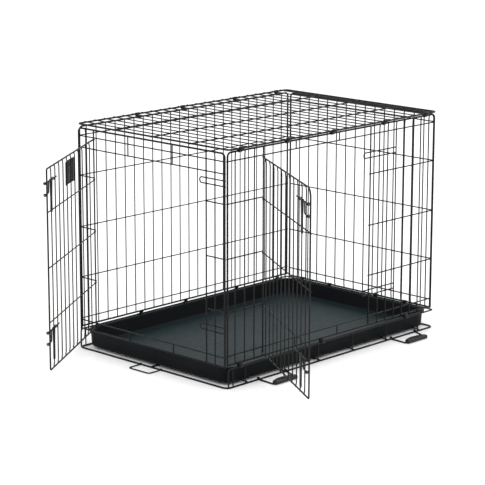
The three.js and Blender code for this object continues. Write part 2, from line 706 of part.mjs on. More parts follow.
// Clips. Those at the far top edge are closed and are the top's hinge; those at the near top edge
// and along the base are open on one side, so that the panel can leave them.
const point = (x, y) => new THREE.Vector2(x, y);
const farTopRing = clip(point(SIDE_Y, SIDE_RAIL_Z), point(TOP_EDGE_Y, TOP_Z), FRAME_R, 'x');
FAR_CLIPS.forEach((at, i) => {
  place(`far_top_clip_${i + 1}`, farTopRing.clone().translate(alongX(at), 0, 0), clipPaint);
});

const half = CLIP_OPENING / 2;
const opening = (y, z) => new THREE.BoxGeometry(2 * CLIP_LENGTH, CLIP_OPENING, CLIP_OPENING).translate(0, y, z);
const nearTopRing = clip(point(-SIDE_Y, SIDE_RAIL_Z), point(-TOP_EDGE_Y, TOP_Z), FRAME_R, 'x');
const nearTopHook = cut(nearTopRing, opening(-SIDE_Y + half - TOP_HOOK_LIP, SIDE_RAIL_Z - half / 2));
NEAR_TOP_CLIPS.forEach((at, i) => {
  place(`near_top_hook_${i + 1}`, nearTopHook.clone().translate(alongX(at), 0, 0), clipPaint);
});

const baseRing = clip(point(BASE_Y, BASE_RAIL_Z), point(SIDE_Y, SIDE_BOTTOM_Z), FRAME_R, 'x');
const baseOpening = opening(SIDE_Y + half + BASE_HOOK_LIP, SIDE_BOTTOM_Z + half / 2 - BASE_HOOK_LIP);
const baseHook = cut(baseRing, baseOpening);
FAR_CLIPS.forEach((at, i) => {
  place(`far_base_clip_${i + 1}`, baseHook.clone().translate(alongX(at), 0, 0), clipPaint);
});
const nearBaseHook = baseHook.clone().rotateZ(Math.PI);
NEAR_BASE_CLIPS.forEach((at, i) => {
  place(`near_base_clip_${i + 1}`, nearBaseHook.clone().translate(alongX(at), 0, 0), clipPaint);
});

const backRing = clip(point(BASE_RAIL_Z, BASE_X), point(END_BOTTOM_Z, END_X), FRAME_R, 'y');
BACK_CLIPS.forEach((at, i) => {
  place(`back_clip_${i + 1}`, backRing.clone().translate(0, at * backPitch, 0), clipPaint);
});

export default crate;
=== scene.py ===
"""The looks of a folding wire dog crate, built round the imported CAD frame. Metres, +Z up."""

import math

import bpy
import numpy as np
from mathutils import Matrix, Vector


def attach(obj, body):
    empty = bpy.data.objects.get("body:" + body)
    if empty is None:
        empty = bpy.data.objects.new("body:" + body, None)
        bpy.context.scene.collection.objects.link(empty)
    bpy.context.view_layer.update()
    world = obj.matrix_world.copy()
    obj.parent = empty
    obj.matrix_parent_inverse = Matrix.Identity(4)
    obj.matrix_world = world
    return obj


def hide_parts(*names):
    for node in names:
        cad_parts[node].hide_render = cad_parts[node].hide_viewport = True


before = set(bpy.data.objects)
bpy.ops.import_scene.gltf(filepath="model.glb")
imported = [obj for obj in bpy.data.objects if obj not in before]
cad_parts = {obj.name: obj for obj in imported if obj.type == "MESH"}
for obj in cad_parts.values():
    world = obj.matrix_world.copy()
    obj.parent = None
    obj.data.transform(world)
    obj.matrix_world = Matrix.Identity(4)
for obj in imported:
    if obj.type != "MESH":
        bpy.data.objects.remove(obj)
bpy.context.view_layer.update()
MM = 0.001

# ---------------------------------------------------------------- camera
CAMERA_PLACE = (-4.32786, -4.07637, 1.67582)
CAMERA_HEADING, CAMERA_PITCH, CAMERA_ROLL = 0.806606, -0.228347, 0.0017713
SENSOR, LENS = 36.0, 151.06

camera = bpy.data.objects.new("camera", bpy.data.cameras.new("camera"))
bpy.context.scene.collection.objects.link(camera)
camera.data.sensor_width = SENSOR
camera.data.lens = LENS
camera.data.clip_end = 60
camera.matrix_world = (
    Matrix.Translation(CAMERA_PLACE)
    @ Matrix.Rotation(-CAMERA_HEADING, 4, "Z")
    @ Matrix.Rotation(math.pi / 2 + CAMERA_PITCH, 4, "X")
    @ Matrix.Rotation(CAMERA_ROLL, 4, "Z")
)
bpy.context.scene.camera = camera

# ---------------------------------------------------------------- sizes, in millimetres
# The frame's own sizes, as the CAD part has them.
LENGTH, WIDTH = 914, 616
PITCH = LENGTH / 24
TOP_Z = 674
SIDE_Y, SIDE_POST_X = 300, 447.1
END_X, FRONT_POST_Y, BACK_POST_Y = 453.8, 296, 293
SIDE_BOTTOM_Z, SIDE_RAIL_Z = 67, 666
END_BOTTOM_Z, END_RAIL_Z = 62, 664
CORNER_R = 12
STRIP_Z = (217, 369, 523)
SIDE_CROSS_Z = (92, 641)
FRONT_CROSS_Z = (88, 607, 641)
BACK_CROSS_Z = (88, 642)
BACK_UPRIGHTS = 14
SIDE_SHORTS_SPREAD, FRONT_SHORTS_Y = 92, (-90, 90)
TOP_EDGE_X, TOP_EDGE_Y = 447.1, 306.8
TOP_LONG_WIRES_Y = (-154, 0, 154)

# Wire radii.
FILL_R, THIN_FILL_R, DOOR_FILL_R, LONG_WIRE_R = 1.9, 1.7, 1.75, 2.1
FRAME_R, TOP_R, POST_R, HOOP_R = 2.7, 2.7, 2.2, 2.4
BASE_R, RAIL_R, LOOP_R = 2.65, 2.4, 1.3
ROUND, FINE = 12, 14  # sides of a wire's section

# Where a fill wire lies, and how its ends lap the rails.
UPRIGHT_LAYER = 1.65  # how far uprights lie outside the middle plane of their panel
CROSS_LAYER = 2.4  # how far cross wires lie inside it
LAP = 2.6  # how far out an upright bends where it laps a rail
OVERHANG = 1.6  # how far its end stands past the rail
WIRE_END, RAIL_END = 1, 1.5  # how far the ends of posts and bottom rails stand past what they meet
LAP_WELD_DEPTH = 1.1  # how far the weld lies behind a lapped end

# Weld sizes.
LAP_WELD, TOP_WELD, CROSSING_WELD, END_WELD = 2.1, 1.9, 1.75, 2.1
CORNER_WELD, POST_WELD = 3.1, 3.0
KEEPER_ROOT_WELD, KEEPER_TIP_WELD = 2.2, 2.0
DOOR_WELD, DOOR_CROSSING_WELD, BRANCH_WELD = 2.0, 1.8, 2.8
FLOOR_WELD, WALL_WELD = 2.1, 2.0

# Doors: the hinge post, the width to the latch edge, and the turn of each as it stands open.
DOOR_WIDTH, DOOR_GAP = 451, 6
DOOR_BOTTOM_Z, DOOR_TOP_Z = 76, 636
DOOR_CROSS_Z = (212, 364, 518)
DOOR_UPRIGHTS = 12
DOOR_LAYER, DOOR_CROSS_LAYER, DOOR_LAP = 1.95, -0.8, 1.3
DOOR_CORNER_R, SIDE_DOOR_TOP_CORNER_R = 6, 24
EYE_R, EYE_WIRE_R, EYE_REACH = 3.1, 0.8, 3.7
FRONT_HINGE = (-END_X, 232)
SIDE_HINGE = (-305, -SIDE_Y)
FRONT_TURN, SIDE_TURN = -148, -121

# Slide bolts, paddles and keepers.
BOLT_Z = {"lower": 165, "upper": 580}
BOLT_R, BOLT_LAYER, BOLT_RISE, BOLT_BEND_R = 2.0, 7.6, 16, 6
BOLT_BACK_U, BOLT_BRANCH_U, BOLT_TIP_U = 345, 418, 452
GUIDE_R, GUIDE_WIRE_R, GUIDE_UPRIGHT = 3.7, 1.15, 9
PADDLE_U = 394.8
EAR_OFFSET, EAR_R, EAR_FLATNESS = 9, 2.6, (0.35, 1, 1)  # pressed ears that keep a paddle in its place
KEEPER_RISE, KEEPER_REACH, KEEPER_BEND_R = 8, 27, 7.4

# Base and tray.
BASE_X, BASE_Y = 454.5, WIDTH / 2 - 2.5
BASE_RAIL_Z, FLOOR_Z, FLOOR_WIRE_Z = 56, 2.45, 5.2
BASE_CORNER_R, BASE_RAIL_CORNER_R = 16, 9
BASE_FRONT_POST_X, BASE_SECOND_POST_X = -BASE_X + 6, -BASE_X + 24
BASE_POST_PITCHES = (2, 6, 10, 14, 18, 22)
BASE_BACK_POSTS_Y = (-250, -150, -50, 50, 150, 250)
FLOOR_WIRE_SHIFT = 8
RAIL_LOOP_PITCHES = (7.7, 15.8)
TRAY_X, TRAY_Y, TRAY_BOTTOM_Z, TRAY_TOP_Z, TRAY_CORNER_R = 448.5, 299, 7, 57, 42

# Pan stop and carry handles.
STOP_HALF, STOP_REACH, STOP_ROOT, STOP_BEND_R, STOP_R = 42, 48, 4.3, 8, 1.8
CURL_R, CURL_WIRE_R = 3.65, 0.85
HANDLE_X = (-271, 312)
HANDLE_ROOT, HANDLE_TIP, HANDLE_REACH, HANDLE_SKEW = 112, 92, 64, 14
HANDLE_R, HANDLE_CURL_R, HANDLE_BEND_R = 2.3, 5.1, 9
CURL_FROM, CURL_TO = 30, 180  # degrees round the floor wire that a curled end turns on
GRIP_HALF_DEPTH, GRIP_ARCH, GRIP_Z, GRIP_HALF_HEIGHT = 7, 13.5, 6.1, 5.9
GRIP_DOME_FROM, GRIP_DOME_SPAN, GRIP_LEAST = 0.93, 0.07, 0.12  # shares of its half length and section
GRIP_RIB_PITCH, GRIP_RIB_Z, GRIP_RIB_R = 9, 11.2, 1.0

# Clips, in wire pitches from the front; those at the back in its own pitches from the middle.
FAR_CLIPS = (6.5, 11.5, 17.5, 22.5)
NEAR_TOP_CLIPS = (1.5, 6.5, 11.5, 17.5, 22.5)
NEAR_BASE_CLIPS = (1.5, 10.5, 20.5)
BACK_CLIPS = (-5, -2, 3, 6)
CLIP_INNER, CLIP_LENGTH, CLIP_WALL = 3.1, 16.0, 1.2


def along_x(pitches):
    return -LENGTH / 2 + pitches * PITCH


# ---------------------------------------------------------------- materials
def node_material(name, base, rough):
    """A plain principled material, returned with its nodes, links and shader to add to."""
    material = bpy.data.materials.new(name)
    material.use_nodes = True
    nodes = material.node_tree.nodes
    shader = nodes["Principled BSDF"]
    shader.inputs["Base Color"].default_value = (*base, 1)
    shader.inputs["Roughness"].default_value = rough
    return material, nodes, material.node_tree.links, shader


def coordinates(nodes, links, scale=(1, 1, 1)):
    source = nodes.new("ShaderNodeTexCoord")
    mapping = nodes.new("ShaderNodeMapping")
    mapping.inputs["Scale"].default_value = scale
    links.new(source.outputs["Object"], mapping.inputs["Vector"])
    return mapping.outputs["Vector"]


def noise(nodes, links, vector, scale, detail=3.0, roughness=0.55, distortion=0.0):
    texture = nodes.new("ShaderNodeTexNoise")
    texture.inputs["Scale"].default_value = scale
    texture.inputs["Detail"].default_value = detail
    texture.inputs["Roughness"].default_value = roughness
    texture.inputs["Distortion"].default_value = distortion
    links.new(vector, texture.inputs["Vector"])
    return texture.outputs["Fac"]


def ramp(nodes, links, value, low, high, first, second):
    """Maps value from low..high onto first..second, which are numbers or colours."""
    if isinstance(first, (int, float)):
        mapped = nodes.new("ShaderNodeMapRange")
        mapped.inputs["From Min"].default_value = low
        mapped.inputs["From Max"].default_value = high
        mapped.inputs["To Min"].default_value = first
        mapped.inputs["To Max"].default_value = second
        links.new(value, mapped.inputs["Value"])
        return mapped.outputs["Result"]
    shades = nodes.new("ShaderNodeValToRGB")
    shades.color_ramp.elements[0].position = low
    shades.color_ramp.elements[1].position = high
    shades.color_ramp.elements[0].color = (*first, 1)
    shades.color_ramp.elements[1].color = (*second, 1)
    links.new(value, shades.inputs["Fac"])
    return shades.outputs["Color"]


def bump(nodes, links, shader, height, strength, distance, before=None):
    relief = nodes.new("ShaderNodeBump")
    relief.inputs["Strength"].default_value = strength
    relief.inputs["Distance"].default_value = distance
    links.new(height, relief.inputs["Height"])
    if before is not None:
        links.new(before, relief.inputs["Normal"])
    links.new(relief.outputs["Normal"], shader.inputs["Normal"])
    return relief.outputs["Normal"]


def black_coat(name, base, worn, rough):
    """Black electro-coat on steel wire: orange peel, uneven gloss and a few dull rubbed places."""
    material, nodes, links, shader = node_material(name, base, rough)
    place = coordinates(nodes, links)
    broad = noise(nodes, links, place, 22, 4)
    fine = noise(nodes, links, place, 900, 3)
    peel = noise(nodes, links, place, 420, 2, 0.5)
    links.new(ramp(nodes, links, broad, 0.38, 0.74, base, worn), shader.inputs["Base Color"])
    links.new(ramp(nodes, links, fine, 0.3, 0.7, rough - 0.07, rough + 0.14), shader.inputs["Roughness"])
    bump(nodes, links, shader, peel, 0.22, 0.0004)
    shader.inputs["Specular IOR Level"].default_value = 0.2
    return material


wire_coat = black_coat("wire_coat", (0.0016, 0.0017, 0.0018), (0.004, 0.0042, 0.0045), 0.42)
clip_coat = black_coat("clip_coat", (0.0016, 0.0017, 0.0018), (0.005, 0.005, 0.0055), 0.34)


def tray_plastic():
    """Moulded slate plastic: a fine leather grain, cloudy gloss, faint scuffs across the floor, and painted
    shade that makes the walls darker than the floor.
    """
    material, nodes, links, shader = node_material("tray_plastic", (0.008, 0.014, 0.0155), 0.5)
    place = coordinates(nodes, links)
    stretched = coordinates(nodes, links, (1.0, 9.0, 1.0))
    cloud = noise(nodes, links, place, 5, 4, 0.6)
    grain = nodes.new("ShaderNodeTexVoronoi")
    grain.feature = "SMOOTH_F1"
    grain.inputs["Scale"].default_value = 620
    links.new(place, grain.inputs["Vector"])
    scuff = noise(nodes, links, stretched, 26, 6, 0.75, 0.4)
    # Painted shade: faces that point less upwards get a darker colour, standing in for the light that does
    # not reach the walls.
    facing = nodes.new("ShaderNodeSeparateXYZ")
    links.new(nodes.new("ShaderNodeNewGeometry").outputs["Normal"], facing.inputs["Vector"])
    level = ramp(nodes, links, facing.outputs["Z"], 0.55, 0.95, 0.0, 1.0)
    shade = nodes.new("ShaderNodeMixRGB")
    links.new(level, shade.inputs["Fac"])
    # wall is the painted-shade colour of the walls; flat is the lit colour of the floor.
    wall = ramp(nodes, links, cloud, 0.3, 0.72, (0.0035, 0.0045, 0.0055), (0.0055, 0.0068, 0.008))
    flat = ramp(nodes, links, cloud, 0.3, 0.72, (0.0095, 0.0185, 0.0205), (0.0135, 0.025, 0.027))
    links.new(wall, shade.inputs["Color1"])
    links.new(flat, shade.inputs["Color2"])
    links.new(shade.outputs["Color"], shader.inputs["Base Color"])
    links.new(ramp(nodes, links, scuff, 0.4, 0.75, 0.42, 0.62), shader.inputs["Roughness"])
    shader.inputs["Specular IOR Level"].default_value = 0.06
    first = bump(nodes, links, shader, grain.outputs["Distance"], 0.22, 0.0006)
    bump(nodes, links, shader, scuff, 0.05, 0.0008, first)
    return material


def black_plastic():
    """Moulded black plastic with a fine spark-eroded grain."""
    base, light = (0.0035, 0.0037, 0.004), (0.007, 0.0074, 0.008)
    material, nodes, links, shader = node_material("black_plastic", base, 0.45)
    place = coordinates(nodes, links)
    links.new(
        ramp(nodes, links, noise(nodes, links, place, 35, 4), 0.35, 0.75, base, light),
        shader.inputs["Base Color"],
    )
    grain = noise(nodes, links, place, 1400, 2, 0.6)
    links.new(ramp(nodes, links, grain, 0.3, 0.7, 0.36, 0.55), shader.inputs["Roughness"])
    bump(nodes, links, shader, grain, 0.35, 0.0003)
    shader.inputs["Specular IOR Level"].default_value = 0.3
    return material


tray_material = tray_plastic()
plastic_material = black_plastic()
MATERIALS = {
    "wire_coat": wire_coat,
    "clip_coat": clip_coat,
    "tray_plastic": tray_material,
    "black_plastic": plastic_material,
}


# ---------------------------------------------------------------- wire geometry
def unit(vector):
    return vector / np.linalg.norm(vector)


def rounded(corners, radius, steps=6):
    """The points of a path with its corners rounded."""
    corners = [np.array(c, float) for c in corners]
    points = [corners[0]]
    for before, corner, after in zip(corners, corners[1:], corners[2:]):
        back, ahead = unit(before - corner), unit(after - corner)
        half = math.acos(max(-1.0, min(1.0, float(back @ ahead)))) / 2
        if half > math.pi / 2 - 0.02:
            points.append(corner)
            continue
        cut = radius / math.tan(half)
        centre = corner + unit(back + ahead) * radius / math.sin(half)
        start, end = corner + back * cut - centre, corner + ahead * cut - centre
        sweep = math.pi - 2 * half
        for k in range(steps + 1):
            t = k / steps
            mix = (math.sin(sweep * (1 - t)) * start + math.sin(sweep * t) * end) / math.sin(sweep)
            points.append(centre + mix)
    points.append(corners[-1])
    return points


# A wire's domed end as rings: how far each stands out and its size, in shares of the wire's radius.
END_DOME = ((0.36, 0.8), (0.52, 0.35))
SHARPEST_BEND, MOST_MITRE = 0.7, 1.15
SHARP_EDGE = 50  # degrees between faces from which an edge is drawn sharp


class Bundle:
    """Gathers the wires, welds and plates of one piece into a single mesh, in millimetres."""

    def __init__(self):
        self.vertices = []
        self.faces = []

    def wire(self, path, radius, sides=ROUND, closed=False):
        """A round wire along a path, with domed ends unless it is closed."""
        path = [np.array(p, float) for p in path]
        count = len(path)
        tangents = []
        for i in range(count):
            before = path[i - 1] if closed or i else path[0]
            after = path[(i + 1) % count] if closed or i < count - 1 else path[-1]
            tangents.append(unit(after - before))
        normal = np.cross(tangents[0], (0.0, 0.0, 1.0))
        if np.linalg.norm(normal) < 1e-3:
            normal = np.cross(tangents[0], (0.0, 1.0, 0.0))
        normal = unit(normal)
        rings = []
        for i in range(count):
            normal = unit(normal - tangents[i] * float(normal @ tangents[i]))
            scale = 1.0
            if 0 < i < count - 1:  # keeps the wire's thickness through a corner
                bend = unit(path[i] - path[i - 1])
                scale = 1 / max(SHARPEST_BEND, float(bend @ tangents[i]))
            rings.append((path[i], tangents[i], normal, radius * min(scale, MOST_MITRE)))
        if not closed:
            for at_start in (True, False):
                place, tangent, across, size = rings[0] if at_start else rings[-1]
                out = -tangent if at_start else tangent
                domed = [
                    (place + out * radius * reach, tangent, across, size * share)
                    for reach, share in END_DOME
                ]
                rings = domed[::-1] + rings if at_start else rings + domed
        base = len(self.vertices)
        for place, tangent, across, size in rings:
            other = np.cross(tangent, across)
            for k in range(sides):
                angle = 2 * math.pi * k / sides
                self.vertices.append(place + (across * math.cos(angle) + other * math.sin(angle)) * size)
        total = len(rings)
        for i in range(total if closed else total - 1):
            for k in range(sides):
                a, b = base + i * sides + k, base + i * sides + (k + 1) % sides
                c = base + ((i + 1) % total) * sides + (k + 1) % sides
                d = base + ((i + 1) % total) * sides + k
                self.faces.append((a, b, c, d))
        if not closed:
            self.faces.append(tuple(base + k for k in reversed(range(sides))))
            self.faces.append(tuple(base + (total - 1) * sides + k for k in range(sides)))

    def weld(self, place, size=1.9, flat=(1, 1, 1)):
        """A small smooth blob of weld metal."""
        base = len(self.vertices)
        rows, sides = 4, 8
        for row in range(1, rows):
            lift = math.pi * row / rows
            for k in range(sides):
                angle = 2 * math.pi * k / sides
                local = (
                    math.sin(lift) * math.cos(angle),
                    math.sin(lift) * math.sin(angle),
                    math.cos(lift),
                )
                self.vertices.append(np.array(place, float) + np.array(local) * size * np.array(flat))
        for end in (1, -1):
            self.vertices.append(np.array(place, float) + np.array((0, 0, end)) * size * np.array(flat))
        top, bottom = len(self.vertices) - 2, len(self.vertices) - 1
        for row in range(rows - 2):
            for k in range(sides):
                a, b = base + row * sides + k, base + row * sides + (k + 1) % sides
                self.faces.append((a, a + sides, b + sides, b))
        last = base + (rows - 2) * sides
        for k in range(sides):
            self.faces.append((top, base + k, base + (k + 1) % sides))
            self.faces.append((bottom, last + (k + 1) % sides, last + k))

    def make(self, name, body, slot, nodes, turn=None, hinge=None):
        """Makes the piece, which rides on its CAD body; a door's pieces are turned and moved to its hinge."""
        vertices = np.array(self.vertices) * MM
        if turn is not None:
            c, s = math.cos(math.radians(turn)), math.sin(math.radians(turn))
            vertices = vertices @ np.array(((c, s, 0), (-s, c, 0), (0, 0, 1)))
            vertices += np.array((hinge[0], hinge[1], 0)) * MM
        mesh = bpy.data.meshes.new(name)
        mesh.from_pydata([tuple(v) for v in vertices], [], self.faces)
        mesh.update()
        mesh.polygons.foreach_set("use_smooth", [True] * len(mesh.polygons))
        mesh.set_sharp_from_angle(angle=math.radians(SHARP_EDGE))
        piece = bpy.data.objects.new(name, mesh)
        bpy.context.scene.collection.objects.link(piece)
        mesh.materials.append(MATERIALS[slot])
        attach(piece, body)
        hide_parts(*nodes)


def lapped(at, across, low, high, layer, lap=LAP, flat=5, end=13, bend=9):
    """An upright in its layer whose ends bend out over the rails at low and high."""
    path = [
        at(across, low - OVERHANG, lap),
        at(across, low + flat, lap),
        at(across, low + end, layer),
        at(across, high - end, layer),
        at(across, high - flat, lap),
        at(across, high + OVERHANG, lap),
    ]
    return rounded(path, bend, 3)


def grille(bundle, at, half, bottom, top, uprights, crosses, fill=FILL_R, laps=True):
    """A panel's frame with its fill wires. crosses is a list of (height, from, to)."""
    hoop = [at(-half, bottom), at(-half, top), at(half, top), at(half, bottom)]
    bundle.wire(rounded(hoop, CORNER_R), FRAME_R, FINE)
    bundle.wire([at(-half - RAIL_END, bottom), at(half + RAIL_END, bottom)], FRAME_R, FINE)
    for side in (-half, half):
        bundle.weld(at(side, bottom), CORNER_WELD)
    for across in uprights:
        path = [at(across, bottom, UPRIGHT_LAYER), at(across, top, UPRIGHT_LAYER)]
        if laps:
            path = lapped(at, across, bottom, top, UPRIGHT_LAYER)
        bundle.wire(path, fill)
        for height in (bottom, top):
            bundle.weld(at(across, height, LAP - LAP_WELD_DEPTH), LAP_WELD)
    for height, start, end in crosses:
        bundle.wire([at(start, height, -CROSS_LAYER), at(end, height, -CROSS_LAYER)], fill)
        for side in (start, end):
            bundle.weld(at(side, height, -CROSS_LAYER), END_WELD)
        for across in uprights:
            if min(start, end) < across < max(start, end):
                bundle.weld(at(across, height), CROSSING_WELD)


def doorway(bundle, at, posts, shorts, bottom, top, sill, lintel):
    """The posts of a doorway, and the short wires below its sill and above its lintel."""
    for across in posts:
        bundle.wire([at(across, bottom - WIRE_END), at(across, top + WIRE_END)], POST_R)
        for height in (bottom, top):
            bundle.weld(at(across, height), POST_WELD)
    for across in shorts:
        for low, high in ((bottom, sill), (lintel, top)):
            ends = (low - WIRE_END, high + WIRE_END)
            bundle.wire([at(across, height, -CROSS_LAYER) for height in ends], FILL_R)


def keeper(bundle, at, height, root, tip):
    """The loop that a slide bolt works in, welded to the corner post and the latch post."""
    inward = math.copysign(1, tip - root)
    corners = [
        at(root, height + KEEPER_RISE, -CROSS_LAYER),
        at(tip, height + KEEPER_RISE, -CROSS_LAYER),
        at(tip, height - KEEPER_RISE, -CROSS_LAYER),
        at(root, height - KEEPER_RISE, -CROSS_LAYER),
    ]
    bundle.wire(rounded(corners, KEEPER_BEND_R), FILL_R)
    for end in (height + KEEPER_RISE, height - KEEPER_RISE):
        bundle.weld(at(root, end, -CROSS_LAYER), KEEPER_ROOT_WELD)
        bundle.weld(at(tip - inward * KEEPER_REACH, end, -0.6), KEEPER_TIP_WELD)


# ---------------------------------------------------------------- panels
def far_at(x, z, out=0.0):
    return (x, SIDE_Y + out, z)


def near_at(x, z, out=0.0):
    return (x, -SIDE_Y - out, z)


def front_at(y, z, out=0.0):
    return (-END_X - out, y, z)


def back_at(y, z, out=0.0):
    return (END_X + out, y, z)


every_upright = [along_x(i) for i in range(1, 24)]
side_latch_x = SIDE_HINGE[0] + DOOR_WIDTH + DOOR_GAP
front_latch_y = FRONT_HINGE[1] - DOOR_WIDTH - DOOR_GAP

far = Bundle()
full = [(z, -SIDE_POST_X, SIDE_POST_X) for z in (*SIDE_CROSS_Z, *STRIP_Z)]
grille(far, far_at, SIDE_POST_X, SIDE_BOTTOM_Z, SIDE_RAIL_Z, every_upright, full, THIN_FILL_R, False)
far.make("far_side_wires", "far_side", "wire_coat", ["far_side_panel"])

near = Bundle()
outside = [x for x in every_upright if x < SIDE_HINGE[0] - PITCH / 2 or x > side_latch_x + PITCH / 2]
strips = [(z, -SIDE_POST_X, SIDE_POST_X) for z in SIDE_CROSS_Z]
strips += [(z, -SIDE_POST_X, SIDE_HINGE[0]) for z in STRIP_Z]
strips += [(z, side_latch_x, SIDE_POST_X) for z in STRIP_Z]
grille(near, near_at, SIDE_POST_X, SIDE_BOTTOM_Z, SIDE_RAIL_Z, outside, strips)
middle = (SIDE_HINGE[0] + side_latch_x) / 2
doorway(
    near,
    near_at,
    (SIDE_HINGE[0], side_latch_x),
    (middle - SIDE_SHORTS_SPREAD, middle + SIDE_SHORTS_SPREAD),
    SIDE_BOTTOM_Z,
    SIDE_RAIL_Z,
    *SIDE_CROSS_Z,
)
for z in BOLT_Z.values():
    keeper(near, near_at, z, side_latch_x + 3 * PITCH, side_latch_x - KEEPER_REACH)
near.make("near_side_wires", "base", "wire_coat", ["near_side_panel"])

front = Bundle()
front_uprights = [(front_latch_y - FRONT_POST_Y) / 2, (FRONT_HINGE[1] + FRONT_POST_Y) / 2]
strips = [(z, -FRONT_POST_Y, FRONT_POST_Y) for z in FRONT_CROSS_Z]
strips += [(z, -FRONT_POST_Y, front_latch_y) for z in STRIP_Z]
strips += [(z, FRONT_HINGE[1], FRONT_POST_Y) for z in STRIP_Z]
grille(front, front_at, FRONT_POST_Y, END_BOTTOM_Z, END_RAIL_Z, front_uprights, strips)
doorway(
    front,
    front_at,
    (FRONT_HINGE[1], front_latch_y),
    FRONT_SHORTS_Y,
    END_BOTTOM_Z,
    END_RAIL_Z,
    *FRONT_CROSS_Z[:2],
)
for z in BOLT_Z.values():
    keeper(front, front_at, z, -FRONT_POST_Y, front_latch_y + KEEPER_REACH)
front.make("front_end_wires", "base", "wire_coat", ["front_end_panel"])

back = Bundle()
back_pitch = 2 * BACK_POST_Y / (BACK_UPRIGHTS + 1)
back_uprights = [-BACK_POST_Y + (i + 1) * back_pitch for i in range(BACK_UPRIGHTS)]
full = [(z, -BACK_POST_Y, BACK_POST_Y) for z in (*BACK_CROSS_Z, *STRIP_Z)]
grille(back, back_at, BACK_POST_Y, END_BOTTOM_Z, END_RAIL_Z, back_uprights, full)
back.make("back_end_wires", "back_end", "wire_coat", ["back_end_panel"])


def top_at(x, y, rise=0.0):
    return (x, y, TOP_Z + rise)


top = Bundle()
edge = [
    top_at(0, -TOP_EDGE_Y),
    top_at(TOP_EDGE_X, -TOP_EDGE_Y),
    top_at(TOP_EDGE_X, TOP_EDGE_Y),
    top_at(-TOP_EDGE_X, TOP_EDGE_Y),
    top_at(-TOP_EDGE_X, -TOP_EDGE_Y),
    top_at(0, -TOP_EDGE_Y),
]
top.wire(rounded(edge, CORNER_R)[:-1], TOP_R, FINE, closed=True)
for x in every_upright:
    ends = lapped(top_at, x, -TOP_EDGE_Y, TOP_EDGE_Y, UPRIGHT_LAYER, LAP, 2, 7, 5)
    top.wire(ends, THIN_FILL_R)
    for y in (-TOP_EDGE_Y, TOP_EDGE_Y):
        top.weld(top_at(x, y, LAP - LAP_WELD_DEPTH), TOP_WELD)
for y in TOP_LONG_WIRES_Y:
    ends = (-TOP_EDGE_X - WIRE_END, TOP_EDGE_X + WIRE_END)
    top.wire([top_at(x, y, -UPRIGHT_LAYER) for x in ends], LONG_WIRE_R)
    for x in every_upright:
        top.weld(top_at(x, y), CROSSING_WELD)
top.make("top_wires", "top", "wire_coat", ["top_panel"])

# ---------------------------------------------------------------- base
base = Bundle()
ring = [
    (0, -BASE_Y, FLOOR_Z),
    (BASE_X, -BASE_Y, FLOOR_Z),
    (BASE_X, BASE_Y, FLOOR_Z),
    (-BASE_X, BASE_Y, FLOOR_Z),
    (-BASE_X, -BASE_Y, FLOOR_Z),
    (0, -BASE_Y, FLOOR_Z),
]
base.wire(rounded(ring, BASE_CORNER_R)[:-1], BASE_R, FINE, closed=True)
base.wire([(-BASE_X, 0, FLOOR_Z), (BASE_X, 0, FLOOR_Z)], BASE_R, FINE)
wall = [
    (BASE_FRONT_POST_X, -BASE_Y, FLOOR_Z),
    (BASE_FRONT_POST_X, -BASE_Y, BASE_RAIL_Z),
    (BASE_X, -BASE_Y, BASE_RAIL_Z),
    (BASE_X, BASE_Y, BASE_RAIL_Z),
    (BASE_FRONT_POST_X, BASE_Y, BASE_RAIL_Z),
    (BASE_FRONT_POST_X, BASE_Y, FLOOR_Z),
]
base.wire(rounded(wall, BASE_RAIL_CORNER_R), RAIL_R, ROUND)


def wall_post(x, y):
    """A short post between the floor ring and the wall rail."""
    base.wire([(x, y, FLOOR_Z - 0.4), (x, y, BASE_RAIL_Z + 0.8)], FILL_R)
    base.weld((x, y, FLOOR_Z + 1.6), FLOOR_WELD)
    base.weld((x, y, BASE_RAIL_Z - 1.2), WALL_WELD)


def rail_loop(x):
    """A small loop of thin wire that hangs from the far wall rail."""
    half_across = ((4, 0), (8, -15), (5, -23))
    left = [(x - across, BASE_Y, BASE_RAIL_Z + rise) for across, rise in half_across]
    right = [(x + across, BASE_Y, BASE_RAIL_Z + rise) for across, rise in half_across[::-1]]
    base.wire(rounded(left + right, 4, 4), LOOP_R, 10)


wall_posts = [along_x(i) for i in BASE_POST_PITCHES]
for y in (-BASE_Y, BASE_Y):
    for x in (*wall_posts, BASE_SECOND_POST_X):
        wall_post(x, y)
for y in BASE_BACK_POSTS_Y:
    wall_post(BASE_X, y)
for x in (post + FLOOR_WIRE_SHIFT for post in wall_posts):
    base.wire([(x, -BASE_Y, FLOOR_WIRE_Z), (x, BASE_Y, FLOOR_WIRE_Z)], FILL_R)
    for y in (-BASE_Y, 0, BASE_Y):
        base.weld((x, y, FLOOR_WIRE_Z - 0.8), WALL_WELD)
for pitches in RAIL_LOOP_PITCHES:
    rail_loop(along_x(pitches))
base.make("base_wires", "base", "wire_coat", ["base_frame"])


# ---------------------------------------------------------------- doors
def door_at(u, z, out=0.0):
    return (u, -out, z)


def eye(bundle, z):
    """Two turns of a door wire's end round the hinge post."""
    for rise in (-EYE_WIRE_R, EYE_WIRE_R):
        ring = [
            (EYE_R * math.cos(t), EYE_R * math.sin(t), z + rise)
            for t in (2 * math.pi * k / 16 for k in range(16))
        ]
        bundle.wire(ring, EYE_WIRE_R, 8, closed=True)


def bolt_guide(bundle, u, rod_z):
    """A small ring welded to the door, in which a bolt slides."""
    ring = [
        (u, -BOLT_LAYER + GUIDE_R * math.cos(t), rod_z + GUIDE_R * math.sin(t))
        for t in (2 * math.pi * k / FINE for k in range(FINE))
    ]
    bundle.wire(ring, GUIDE_WIRE_R, 8, closed=True)
    bundle.weld(door_at(u, rod_z, DOOR_LAYER + 1.0), DOOR_WELD)


